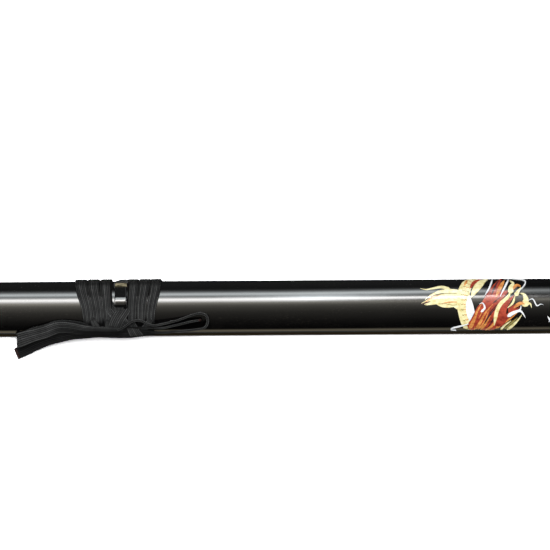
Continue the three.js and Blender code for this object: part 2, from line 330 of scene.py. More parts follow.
def raw_wood_material():
    """Bare wood, for the blade channel and the tenons."""
    m = Nodes("raw_wood")
    m.set(IOR=1.45)
    grain = m.noise(240, 5, 0.65, (0.06, 1, 1))
    m.paint(m.ramp(grain, [(0.3, (0.33, 0.21, 0.11)), (0.6, (0.5, 0.36, 0.21)),
                           (0.85, (0.62, 0.48, 0.31))]))
    m.roughen(grain, 0.6, 0.85)
    m.bump(grain, 0.4, 0.2 * MM)
    return m.material


def ink_material(name, dark, light):
    """Print under the clear coat, as shiny as the coat. Its colour drifts along each stroke."""
    m = Nodes("ink_" + name)
    m.set(**COAT_SHINE)
    m.paint(m.ramp(m.noise(420, 4, 0.65, (0.7, 1, 1)), [(0.32, dark), (0.66, light)]))
    m.roughen(m.noise(900, 3, 0.7), 0.06, 0.14, high=0.75)
    m.bump(m.noise(1500, 2, 0.5), 0.15, 0.05 * MM)
    return m.material


def floor_material():
    """Pale paper, exposed so far that it is white wherever nothing shades it. Close in under the
    scabbard a brown contact shadow is painted on it."""
    m = Nodes("pale_floor")
    tone = m.noise(3, 2, 0.5)
    colour = m.ramp(tone, [(0.2, (0.80, 0.795, 0.785)), (0.9, (0.83, 0.825, 0.815))])
    seen = m.mix(m.add("ShaderNodeLightPath").outputs["Is Camera Ray"], colour, EXPOSED)
    where = m.split(m.place())
    beside = m.math("ABSOLUTE", where["Y"])
    along = m.math("ABSOLUTE", where["X"])
    # a painted contact shadow: brown close in under the scabbard, white beyond its sides and ends
    open_side = m.soft(beside, CONTACT_HALF - 0.8 * MM, CONTACT_HALF + 0.5 * MM)
    open_end = m.soft(along, END_X - 6 * MM, END_X - 3 * MM)
    shaded = m.mix(m.math("MAXIMUM", open_side, open_end), PAINTED_CONTACT_SHADE, seen)
    m.tree.nodes.remove(m.shader)
    paper = m.add("ShaderNodeBsdfDiffuse")
    m.feed(paper.inputs["Roughness"], m.range(tone, 0.3, 0.7, 0.85, 0.95))
    m.feed(paper.inputs["Color"], shaded)
    m.feed(m.tree.nodes["Material Output"].inputs["Surface"], paper.outputs["BSDF"])
    return m.material


LACQUER = lacquer_material()
HORN = horn_material("black_horn", 0.004, 0.12)
# the knob's horn, with a painted reflection over its back
KNOB_HORN = horn_material("knob_horn", 0.0015, 0.05, painted_reflection_from=5.6 * MM)
CORD = cord_material()
SEARED = seared_material()
WOOD = raw_wood_material()
INKS = {name: ink_material(name, dark, light) for name, dark, light in (
    ("cream", (0.60, 0.50, 0.19), (0.90, 0.86, 0.52)),
    ("white", (0.62, 0.68, 0.74), (0.92, 0.92, 0.90)),
    ("olive", (0.16, 0.13, 0.04), (0.42, 0.36, 0.12)),
    ("orange", (0.42, 0.12, 0.03), (0.78, 0.36, 0.10)),
    ("red", (0.17, 0.018, 0.012), (0.46, 0.07, 0.035)),
    ("dark", (0.02, 0.006, 0.008), (0.10, 0.03, 0.035)),
)}


# ---- meshes ----
def add_mesh(name, vertices, faces, material, smooth=True):
    mesh = bpy.data.meshes.new(name)
    mesh.from_pydata([tuple(v) for v in vertices], [], [tuple(f) for f in faces])
    mesh.materials.append(material)
    mesh.polygons.foreach_set("use_smooth", [smooth] * len(mesh.polygons))
    mesh.update()
    piece = bpy.data.objects.new(name, mesh)
    bpy.context.scene.collection.objects.link(piece)
    return piece


def finish_piece(piece, slot, *replaced):
    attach(piece, "root")
    if replaced:
        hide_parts(*replaced)


def loft_faces(rows, columns, closed_rows):
    """Quads of a grid whose columns close on themselves, and whose rows may."""
    row = np.arange(rows if closed_rows else rows - 1)
    column = np.arange(columns)
    r0, c0 = np.meshgrid(row, column, indexing="ij")
    r1, c1 = (r0 + 1) % rows, (c0 + 1) % columns
    here, there = r0 * columns, r1 * columns
    quads = np.stack([here + c0, here + c1, there + c1, there + c0], axis=-1)
    return quads.reshape(-1, 4)


def signed_volume(vertices, quads):
    a, b, c, d = (vertices[quads[:, i]] for i in range(4))
    return float(np.sum(a * np.cross(b, c)) + np.sum(a * np.cross(c, d)))


def loft(name, rings, material, closed=False):
    """A closed body through rings of points: capped at both ends, or joined end to end."""
    rings = np.asarray(rings)
    rows, columns, _ = rings.shape
    vertices = rings.reshape(-1, 3)
    quads = loft_faces(rows, columns, closed)
    turned = signed_volume(vertices - vertices.mean(axis=0), quads) < 0
    faces = [face[::-1] if turned else face for face in quads.tolist()]
    if not closed:
        first = list(range(columns))[::-1]
        last = [(rows - 1) * columns + i for i in range(columns)]
        faces += [first[::-1], last[::-1]] if turned else [first, last]
    return add_mesh(name, vertices, faces, material)


RING_POINTS = 288


def oval_ring(x, half_width, half_height):
    angle = np.arange(RING_POINTS) / RING_POINTS * 2 * np.pi
    across = half_width * np.sin(angle)
    return np.stack([np.full(RING_POINTS, x), across, AXIS_Z + half_height * np.cos(angle)], axis=1)


def smoothstep(value, low, high):
    t = np.clip((value - low) / (high - low), 0, 1)
    return t * t * (3 - 2 * t)


def catmull_rom(points, per_span=24):
    """A smooth curve through rows of numbers."""
    rows = np.asarray(points, dtype=float)
    ends = np.vstack([2 * rows[0] - rows[1], rows, 2 * rows[-1] - rows[-2]])
    curve = []
    for a, b, c, d in zip(ends, ends[1:], ends[2:], ends[3:]):
        for t in np.linspace(0, 1, per_span, endpoint=False):
            curve.append(0.5 * (2 * b + (c - a) * t + (2 * a - 5 * b + 4 * c - d) * t**2
                                + (3 * b - a - 3 * c + d) * t**3))
    curve.append(rows[-1])
    return np.array(curve)


def step_lengths(curve):
    return np.linalg.norm(np.diff(curve, axis=0), axis=1)


def running(steps):
    """How far each place is from the start, from the lengths of the steps between them."""
    return np.concatenate([[0], np.cumsum(steps)])


def oval_run(a, b, angle):
    """Distance round an oval with those half axes, at each angle."""
    speed = np.hypot(a * np.cos(angle), b * np.sin(angle))
    return running((speed[1:] + speed[:-1]) / 2 * np.diff(angle))


def even_steps(curve, step, columns=3):
    """A curve resampled at even distances, measured on its first columns."""
    run = running(step_lengths(curve[:, :columns]))
    at = np.linspace(0, run[-1], max(8, int(round(run[-1] / step))) + 1)
    return np.stack([np.interp(at, run, column) for column in curve.T], axis=1)


def unit(vectors):
    return vectors / np.linalg.norm(vectors, axis=1, keepdims=True)


# ---- the cord ----
def smooth_path(points, hold):
    """Even samples of a curve through (x, y, z, tilt) points in millimetres: its centres, its
    directions and the direction across the strip. hold says what the tilt turns, the strip's face
    or its edge."""
    route = np.array(points, dtype=float)
    route[:, :3] *= MM
    route[:, 3] = np.unwrap(np.radians(route[:, 3]))
    even = even_steps(catmull_rom(route), BRAID_STEP)
    centre, tilt = even[:, :3], even[:, 3]
    tangent = unit(np.gradient(centre, axis=0))
    zero = np.zeros_like(tilt)
    if hold == "face":
        face = np.stack([zero, -np.cos(tilt), np.sin(tilt)], axis=1)
        across = np.cross(face, tangent)
    else:
        across = np.stack([zero, -np.sin(tilt), -np.cos(tilt)], axis=1)
        across -= np.sum(across * tangent, axis=1, keepdims=True) * tangent
    return centre, tangent, unit(across)


def braid(name, centre, tangent, across, width, phase, shade):
    """A flat ribbed braid as a closed mesh: rounded columns along it, each a row of stitches. The
    height of the stitches, times the painted shade, is kept on the mesh for the material, which
    paints low values darker. shade has a row across the strip for each section."""
    face = unit(np.cross(tangent, across))
    run = running(step_lengths(centre))
    column = np.minimum((ACROSS * CORD_RIBS).astype(int), CORD_RIBS - 1)
    ridge = np.abs(np.sin(np.pi * ACROSS * CORD_RIBS)) ** 0.8
    edge = np.sqrt(np.clip(1 - (2 * ACROSS - 1) ** 8, 0, 1))
    beat = run[:, None] / STITCH + 0.5 * (column % 2)[None, :] + phase
    stitch = np.abs(np.sin(np.pi * beat)) ** 0.6
    weave_and_shade = ridge**1.2 * (0.5 + 0.5 * stitch)
    height = CORD_THICKNESS / 2 * edge * (0.52 + 0.48 * weave_and_shade)
    wear = np.sin(2.4 * column + 9 * phase) * np.sin(run / (17 * MM) + 3.0 * phase)[:, None]
    rib_tone = (0.88 + 0.22 * np.sin(4.1 * column + 2.0 + 5 * phase))[None, :] + 0.12 * wear
    # the painted shade goes into the same attribute
    weave_and_shade = weave_and_shade * rib_tone * shade
    sideways = (ACROSS - 0.5)[None, :] * width[:, None]
    middle = centre[:, None] + across[:, None] * sideways[..., None]
    rise = face[:, None] * height[..., None]
    rings = np.concatenate([middle + rise, (middle - rise)[:, -2:0:-1]], axis=1)
    piece = loft(name, rings, CORD)
    around = np.concatenate([weave_and_shade, weave_and_shade[:, -2:0:-1]], axis=1)
    layer = piece.data.attributes.new("weave_and_shade", "FLOAT", "POINT")
    layer.data.foreach_set("value", around.ravel())
    return piece


def strip(name, points, hold="face", widths=EVEN, shades=EVEN, shaded_low_edge=EVEN, phase=0.0):
    """A flat strip of the cord along a route, and the route's even samples. widths gives the
    strip's width, as a share of the cord's, at shares of its length, shades the brightness left by
    painted shade and shaded_low_edge the same on its second edge."""
    centre, tangent, across = smooth_path(points, hold)
    share = np.linspace(0, 1, len(centre))
    width = CORD_WIDTH * np.interp(share, *zip(*widths))
    # painted shade, darker towards the strip's second edge
    low_edge_shade = 1 - np.interp(share, *zip(*shaded_low_edge))
    near_edge = smoothstep(ACROSS, 0.3, 0.62)
    shade = np.interp(share, *zip(*shades))[:, None] * (1 - low_edge_shade[:, None] * near_edge[None, :])
    return braid(name, centre, tangent, across, width, phase, shade), centre


def on_body(x, theta, lift, turn=None):
    """A route point over the body's -Y side: millimetres along, degrees round from the top and
    millimetres above the lacquer. The strip lies flat unless turn gives its tilt."""
    a = math.radians(theta)
    tilt = math.atan2(math.cos(a) / HALF_HEIGHT, math.sin(a) / HALF_WIDTH)
    y = -HALF_WIDTH * math.sin(a) / MM - lift * math.cos(tilt)
    z = (AXIS_Z + HALF_HEIGHT * math.cos(a)) / MM + lift * math.sin(tilt)
    return (x, y, z, math.degrees(tilt) if turn is None else turn)


def offset(points, by):
    """A route moved along its face's normal, in millimetres."""
    moved = []
    for x, y, z, tilt in points:
        a = math.radians(tilt)
        moved.append((x, y - by * math.cos(a), z + by * math.sin(a), tilt))
    return moved


def folded(points, half_open):
    """Out along the face side of a route, round its end and back along the other side."""
    x, y, z, tilt = points[-1]
    a = math.radians(tilt)
    ahead = np.array([x, y, z]) - np.array(points[-2][:3])
    ahead /= np.linalg.norm(ahead)
    normal = np.array([0, -math.cos(a), math.sin(a)])
    bend = []
    for step in (30, 60, 90, 120, 150):
        s = math.radians(step)
        bulge = half_open * (math.cos(s) * normal + math.sin(s) * ahead)
        bend.append((*(np.array([x, y, z]) + bulge), tilt))
    return offset(points, half_open) + bend + offset(points, -half_open)[::-1]


# A seared tip: millimetres past the strip's end, and how thick it is there against the strip.
BEAD = ((-0.5, 0.9), (-0.1, 1.06), (0.4, 1.12), (0.9, 1.0), (1.25, 0.75), (1.4, 0.3))


def squared(wave, power):
    """A sine or cosine, its size raised to a power below 1: an outline squarer than round."""
    return np.sign(wave) * np.abs(wave) ** power


def make_tip(name, route, node):
    """The seared end of a strip: a short rounded bead as wide as the strip."""
    centre, tangent, across = smooth_path(route, "edge")
    end, ahead, side = centre[-1], tangent[-1], across[-1]
    face = np.cross(ahead, side)
    angle = np.linspace(0, 2 * np.pi, 48, endpoint=False)
    rings = []
    for along, size in BEAD:
        wide = CORD_WIDTH / 2 * (1 - 0.12 * (1.1 - size))
        lump = 1 + 0.1 * np.sin(3 * angle + 5 * along)
        breadth = np.outer(squared(np.cos(angle), 0.55) * wide, side)
        depth = np.outer(squared(np.sin(angle), 0.8) * CORD_THICKNESS / 2 * size * lump, face)
        rings.append(end + ahead * along * MM + breadth + depth)
    piece = loft(name, rings, SEARED)
    finish_piece(piece, "cord_tip", node)
    return piece


def over_body(points):
    return [on_body(*point) for point in points]


def make_bow():
    """The bow's two halves: each goes once round its loop and ends in a free tail."""
    bottom = [
        (-222, -21.7, 18.2, -10),
        (-232, -21.9, 17.5, 18),
        (-243, -21.6, 17.6, 30),
        (-256, -21.2, 17.7, 30),
    ]
    tuck_left = [
        (-238, -21.6, 21.2, 16),
        (-245, -21.9, 21.4, 28),
        (-253, -21.9, 21.6, 32),
        (-260.5, -22.0, 22.3, 35),
    ]
    arch_right = over_body([(-241, 72, 2.6, -30), (-236.5, 62, 3.6, -30), (-232, 52, 4.2, -30),
                            (-226.5, 50, 4.2, -30), (-221.5, 57, 4.2, -30), (-217, 60, 4.6, -30)])
    core = over_body([(-261, 78, 1.4, 30), (-253, 80, 1.2, 24), (-244, 80, 1.0, 10),
                      (-234, 76, 1.4, -5), (-224, 69, 2.6, -25)])
    right = arch_right + LOOP_RIGHT + bottom + END_LEFT
    left = tuck_left + folded(LOOP_LEFT, LOOP_OPEN) + core + END_RIGHT
    fold_share = [(0, 0.6), (0.09, 0.68), (0.16, 0.95), (0.2, 1), (0.3, 1.02), (0.35, 1.2),
                  (0.39, 1.25), (0.43, 1.2), (0.5, 1), (1, 1)]
    # painted shade: darker on the strands low in the knot, the left tail and the left loop's back
    # run, and along the left loop's lower edge near its root
    right_shade = [(0, 1), (0.45, 1), (0.54, 0.28), (0.7, 0.3), (1, 0.42)]
    left_shade = [(0, 0.7), (0.06, 0.7), (0.16, 1), (0.34, 1), (0.4, 0.55), (0.6, 0.4), (0.8, 0.35),
                  (0.87, 0.9), (1, 0.9)]
    left_low_shade = [(0, 0.2), (0.13, 0.2), (0.2, 0.5), (0.28, 1), (1, 1)]
    for name, route, looks, nodes, tip, tip_node in (
        ("bow_right_half", right, {"shades": right_shade},
         ("cord_loop_right", "cord_end_left", "cord_strands_left", "cord_strands_right"),
         "seared_tip_left", "cord_tip_left"),
        ("bow_left_half", left, {"widths": fold_share, "shades": left_shade, "shaded_low_edge": left_low_shade},
         ("cord_loop_left", "cord_end_right"), "seared_tip_right", "cord_tip_right"),
    ):
        piece, centre = strip(name, route, hold="edge", **looks)
        finish_piece(piece, "cord", *nodes)
        tip_piece = make_tip(tip, route, tip_node)


def winding(side, inner_shift, share_top, share_front):
    """The three turns beside the knob as one strip: its centres, directions, widths and painted
    shade. Each turn goes straight round and steps over to the next underneath. At the front all
    are drawn together and towards the knob: share_top and share_front are what is left of the
    pitch there."""
    lift = CORD_THICKNESS / 2 + COAT
    a, b = HALF_WIDTH + lift, HALF_HEIGHT + lift
    fine = np.linspace(np.pi, np.pi + TURNS * 2 * np.pi, 6000)
    run = oval_run(a, b, fine)
    angle = np.interp(np.linspace(0, run[-1], int(round(run[-1] / BRAID_STEP)) + 1), run, fine)
    turn = (angle - np.pi) / (2 * np.pi)
    whole = np.floor(turn + 0.5)
    stepping = smoothstep(turn - whole, -0.09, 0.09)
    order = np.clip(whole - 1 + stepping, 0, TURNS - 1)
    front = smoothstep(np.sin(angle), -0.7, 0.95)
    share = share_top + (share_front - share_top) * front
    sway = 0.14 * MM * np.sin(2.3 * angle + side) + 0.09 * MM * np.sin(5.7 * angle + order)
    from_knob = KNOB_HALF + 0.25 * MM + inner_shift * front
    x = KNOB_X + side * (from_knob + TURN_PITCH * (order + 0.5) * share + sway)
    ripple = 0.04 * MM * np.sin(3 * angle + 2 * side + 1.7 * order)
    y, z = -(a + ripple) * np.sin(angle), AXIS_Z + (b + ripple) * np.cos(angle)
    centre = np.stack([x, y, z], axis=1)
    tangent = unit(np.gradient(centre, axis=0))
    face = np.stack([np.zeros_like(angle), -np.sin(angle) / a, np.cos(angle) / b], axis=1)
    across = unit(np.cross(face, tangent))
    width = (TURN_PITCH - 0.1 * MM) * share
    return (centre, tangent, across, width), winding_shade(side, np.degrees(angle) % 360, order)


def winding_shade(side, theta, order):
    """The painted shade on the turns: darker under the knot, along the upper edge behind the knob,
    beside the knob and in the notches between them. theta is in degrees round from the top
    towards the front."""
    under_knot = smoothstep(theta, 49, 61) * (1 - smoothstep(theta, 112, 135))
    upper_edge = smoothstep(theta, 255, 290) * (1 - smoothstep(theta, 325, 336))
    inner = 1 - ACROSS if side < 0 else ACROSS
    beside_knob = (1 - smoothstep(order, 0.0, 0.5))[:, None] * (1 - smoothstep(inner, 0.1, 0.3))
    notches = smoothstep(theta, 41, 52)[:, None] * np.abs(2 * ACROSS - 1)[None, :] ** 3
    along = (1 - 0.93 * under_knot) * (1 - 0.6 * upper_edge)
    return along[:, None] * (1 - 0.9 * beside_knob) * (1 - 0.85 * notches)


def make_wraps():
    for side, word, *drawn in ((-1, "left", -1.4 * MM, 1.03, 0.827),
                               (1, "right", 0.0, 0.945, 0.75)):
        route, shade = winding(side, *drawn)
        piece = braid(f"wrap_{word}", *route, phase=0.3 * side, shade=shade)
        finish_piece(piece, "cord", *[f"cord_turn_{word}_{i + 1}" for i in range(TURNS)])


def make_knot():
    """The two strips that cross below the knob, the band round the knot and three small tucks."""
    # painted shade: each strip darker towards its ends
    knot_end_shade = ((0, 0.5), (0.2, 1), (0.7, 1), (1, 0.4))
    for name, widths, nodes, points in (
        ("knot_front", [(0, 1), (0.4, 1.08), (0.7, 1.1), (1, 0.8)], ["cord_crossing_over"],
         [(-234.4, 13, 0.5), (-236.3, 23, 0.7), (-238.6, 33.5, 1.6), (-241.0, 44, 2.3),
          (-243.0, 55, 2.9), (-244.6, 67.5, 3.1), (-245.4, 81, 2.0)]),
        ("knot_back", [(0, 1), (1, 0.9)], ["cord_crossing_under"],
         [(-249.8, 13, 0.4), (-247.4, 23, 0.6), (-244.8, 33, 1.0), (-242.0, 43, 1.4),
          (-239.2, 53, 1.8), (-236.8, 64, 2.0), (-235.0, 77, 1.9)]),
        ("knot_band", [(0, 0.8), (0.5, 1.1), (1, 1)], ["cord_knot"],
         [(-233.6, 57, 1.4), (-232.2, 65, 3.2), (-230.8, 74, 3.9), (-229.6, 84, 3.6),
          (-228.6, 95, 2.9), (-227.8, 107, 1.9), (-227.2, 119, 0.9)]),
        ("knot_shoulder", [(0, 0.4), (0.5, 0.55), (1, 0.5)], [],
         [(-259.5, 48, 1.4), (-258.0, 57, 2.6), (-256.0, 66, 3.4), (-254.0, 78, 2.6)]),
        ("knot_tuck", [(0, 0.22), (0.5, 0.3), (1, 0.3)], [],
         [(-248.8, 50, 1.4), (-249.4, 59, 2.4), (-249.6, 68, 2.8), (-249.2, 79, 1.8)]),
        ("knot_fold", [(0, 0.4), (0.5, 0.55), (1, 0.5)], [],
         [(-219.5, 50, 1.4), (-221.5, 59, 3.0), (-223.8, 68, 3.8), (-225.0, 80, 3.0)]),
    ):
        piece, _ = strip(name, over_body(points), widths=widths, shades=knot_end_shade, phase=len(name) / 7)
        finish_piece(piece, "cord", *nodes)


EYE_Z = 30.3  # millimetres, the middle of the knob's eye at its front half
EYE_DROP = 0.11  # how far the eye drops for each millimetre towards the back


def eye_height(y):
    return EYE_Z - EYE_DROP * max(y, 0)


def make_knob_strip():
    """The stretch that runs across the scabbard: squeezed through the knob's eye, down its front
    under the crossing, and down its back, in under the right wrap and round to the knot."""
    x = KNOB_X / MM
    eye = [(x, y, eye_height(y) + sag, tilt) for y, sag, tilt in (
        (-11.2, -3.2, 50), (-10.0, -1.1, 66), (-8, 0, 86), (-2, 0, 90), (3, 0, 92), (8.4, 0, 96),
        (11.0, -0.8, 116))]
    front = over_body([(x, 62, 0.9), (x, 51, 0.9)])
    back = over_body([(x + 1.6, -44, 0.9), (x + 5, -58, 0.6), (x + 8, -74, 0.4)])
    back += [on_body(x + 9.4, theta, 0.38) for theta in range(-92, -236, -16)]
    back += over_body([(x + 6, -244, 0.5), (x + 2.5, -256, 0.8)])
    squeezed = [(0, 1), (0.04, 1), (0.09, 0.76), (0.25, 0.76), (0.3, 0.95), (1, 0.95)]
    piece, _ = strip("knob_strip", front + eye + back, widths=squeezed)
    finish_piece(piece, "cord", "cord_through_knob", "cord_round_back")


make_bow()
make_wraps()
make_knot()
make_knob_strip()


# ---- body, collar, cap and knob ----
def make_coat():
    """The lacquer: a thin closed skin all round the wood between the collar and the cap."""
    outer = (HALF_WIDTH + COAT, HALF_HEIGHT + COAT)
    inner = (HALF_WIDTH + 0.01 * MM, HALF_HEIGHT + 0.01 * MM)
    start, stop = COLLAR_HIGH.x + 0.05 * MM, CAP_LOW.x - 0.05 * MM
    xs = np.linspace(start, stop, 60)
    rings = [oval_ring(x, *outer) for x in xs] + [oval_ring(x, *inner) for x in xs[::-1]]
    finish_piece(loft("lacquer_coat", rings, LACQUER, closed=True), "lacquer")
    for node in ("wood_half_upper", "wood_half_lower"):
        for material_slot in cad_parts[node].material_slots:
            material_slot.material = WOOD


def rounded_box(half_width, half_height, power, count):
    """Points round a rectangle with round corners, sharper with a higher power, at even angles:
    how far across and how far up each is from the middle."""
    angle = np.arange(count) / count * 2 * np.pi
    s, c = np.sin(angle), np.cos(angle)
    size = (np.abs(s / half_width) ** power + np.abs(c / half_height) ** power) ** (-1 / power)
    return size * s, size * c


def throat_ring(x, half_width, half_height):
    across, up = rounded_box(half_width, half_height, 7, RING_POINTS)
    return np.stack([np.full(RING_POINTS, x), across, AXIS_Z + up], axis=1)


def rounded_profile(start, stop, radius, steps=6):
    """(x, inset) pairs from start to stop, with stop's corner rounded."""
    sign = 1 if stop > start else -1
    pairs = [(start, 0.0)]
    for angle in np.linspace(0, np.pi / 2, steps):
        pairs.append((stop - sign * radius * (1 - np.sin(angle)), radius * (1 - np.cos(angle))))
    return pairs


def half_size(low, high):
    return (high.y - low.y) / 2, (high.z - low.z) / 2


THROAT = (15.8 * MM, 4.7 * MM)  # half its width and height
LIP = 3 * MM  # from the mouth's face to where the wood starts
SOFT_EDGE = 0.25 * MM


def make_collar():
    """The ring round the mouth: an oval band with a lip, and the throat for the blade."""
    half_y, half_z = half_size(COLLAR_LOW, COLLAR_HIGH)
    flare = 0.5 * MM
    rings = [oval_ring(COLLAR_HIGH.x, half_y - SOFT_EDGE, half_z - SOFT_EDGE)]
    rings += [oval_ring(x, half_y - inset, half_z - inset)
              for x, inset in rounded_profile(COLLAR_HIGH.x - SOFT_EDGE, MOUTH_X, 0.7 * MM)]
    rings += [throat_ring(MOUTH_X, THROAT[0] + flare, THROAT[1] + flare)]
    rings += [throat_ring(MOUTH_X + flare, *THROAT), throat_ring(MOUTH_X + LIP, *THROAT)]
    rings += [oval_ring(MOUTH_X + LIP, *BORE), oval_ring(COLLAR_HIGH.x, *BORE)]
    finish_piece(loft("collar_ring", rings, HORN, closed=True), "collar", "mouth_collar")


CAP_WALL = 5 * MM
CAP_RIM = 0.9 * MM
CAP_ROUND = 2.4 * MM


def make_cap():
    """The end cap: an oval cup with a rounded rim and a softly rounded end."""
    half_y, half_z = half_size(CAP_LOW, CAP_HIGH)
    inside_end = END_X - CAP_WALL
    rings = [oval_ring(inside_end, 0.5 * MM, 0.5 * MM), oval_ring(inside_end, *BORE)]
    rings += [oval_ring(CAP_LOW.x, *BORE), oval_ring(CAP_LOW.x, half_y - CAP_RIM, half_z - CAP_RIM)]
    rings += [oval_ring(CAP_LOW.x + 0.3 * MM, half_y - SOFT_EDGE, half_z - SOFT_EDGE)]
    rings += [oval_ring(x, half_y - inset, half_z - inset)
              for x, inset in rounded_profile(CAP_LOW.x + CAP_RIM, END_X, CAP_ROUND, 10)]
    rings += [oval_ring(END_X, (half_y - CAP_ROUND) * size, (half_z - CAP_ROUND) * size)
              for size in (0.7, 0.35, 0.05)]
    finish_piece(loft("cap_body", rings, HORN), "cap", "end_cap")


# The knob in millimetres. KNOB_LEAN is the lean of its top in degrees at places across the
# scabbard, positive where it rises towards the back. Its front faces -Y.
KNOB_SHOWN = (-3.0, 5.2)  # each way from the middle, along the scabbard
KNOB_LEAN = [(-9.3, 27), (-7.9, 24), (-6.9, 11), (-3.9, -7), (-3.1, -15.5), (10.4, -15.5)]
KNOB_TOP = 35.2
KNOB_SUNK = 3.4  # how far it goes on down inside the body
FRONT_EDGE, BACK_EDGE, END_EDGE = 0.5, 0.8, 0.9
EYE_HALF = (3.4, 1.15)  # half the eye's width and height


def knob_section(x, inset):
    """The knob's outline across the scabbard: an upright front, a rounded crest close behind it,
    and a long slope down to the back. All in millimetres until the end."""
    places, leans = zip(*KNOB_LEAN)
    ahead_face, back_face = places[0] + inset, places[-1] - inset
    foot = (AXIS_Z + HALF_HEIGHT) / MM - KNOB_SUNK
    middle = (ahead_face + back_face) / 2
    half = (back_face - ahead_face) / 2
    y = middle - half * np.cos(np.linspace(0, np.pi, 90))
    fine = np.linspace(places[0], places[-1], 800)
    slope = np.tan(np.radians(np.interp(fine, places, leans)))
    top = np.cumsum(slope) * (fine[1] - fine[0])
    z = KNOB_TOP - inset + np.interp(y, fine, top - top.max())
    for distance, radius in ((y - ahead_face, FRONT_EDGE), (back_face - y, BACK_EDGE)):
        bite = np.clip(radius - distance, 0, radius)
        z -= radius - np.sqrt(radius**2 - bite**2)
    rise = np.linspace(0, 1, 8)[:, None]
    front = (1 - rise) * (ahead_face, foot) + rise * (ahead_face, z[0])
    rear = (1 - rise) * (back_face, z[-1]) + rise * (back_face, foot)
    base = (1 - rise) * (back_face, foot) + rise * (ahead_face, foot)
    outline = np.concatenate([front[:-1], np.stack([y, z], axis=1), rear[1:-1], base[:-1]])
    return np.column_stack([np.full(len(outline), x), outline]) * MM


def make_knob():
    """The cord knob: a low wedge, rounded all round, with an eye across the scabbard."""
    start, stop = KNOB_SHOWN
    turn = np.linspace(0, np.pi / 2, 8)
    into = END_EDGE * (1 - np.cos(turn))
    inset = END_EDGE * (1 - np.sin(turn))
    xs = np.concatenate([start + into, np.linspace(start, stop, 7)[1:-1], (stop - into)[::-1]])
    insets = np.concatenate([inset, np.zeros(5), inset[::-1]])
    middle = KNOB_X / MM
    knob = loft("knob_body", [knob_section(middle + x, i) for x, i in zip(xs, insets)], KNOB_HORN)
    eye = [eye_ring(y) for y in (-14, -9.2, 0, 9.2, 14)]
    cutter = loft("eye_cutter", eye, KNOB_HORN)
    cut = knob.modifiers.new("eye", "BOOLEAN")
    cut.object = cutter
    cut.operation = "DIFFERENCE"
    cut.solver = "EXACT"
    shown = knob.evaluated_get(bpy.context.evaluated_depsgraph_get())
    mesh = bpy.data.meshes.new_from_object(shown)
    knob.modifiers.clear()
    knob.data = mesh
    bpy.data.objects.remove(cutter)
    finish_piece(knob, "knob", "cord_knob")


def eye_ring(y):
    """The eye's outline, a flat oval."""
    across, up = rounded_box(*EYE_HALF, 4, 48)
    return np.stack([KNOB_X / MM + across, np.full(48, y), eye_height(y) + up], axis=1) * MM


make_coat()
make_collar()
make_cap()
make_knob()


# ---- the printed motif ----
MOTIF_X = -0.0035  # where the motif's own measure starts, along the scabbard
INK_STEP = 0.6 * MM
INK_LAYER = 0.009 * MM  # how much higher each stroke lies than the one before

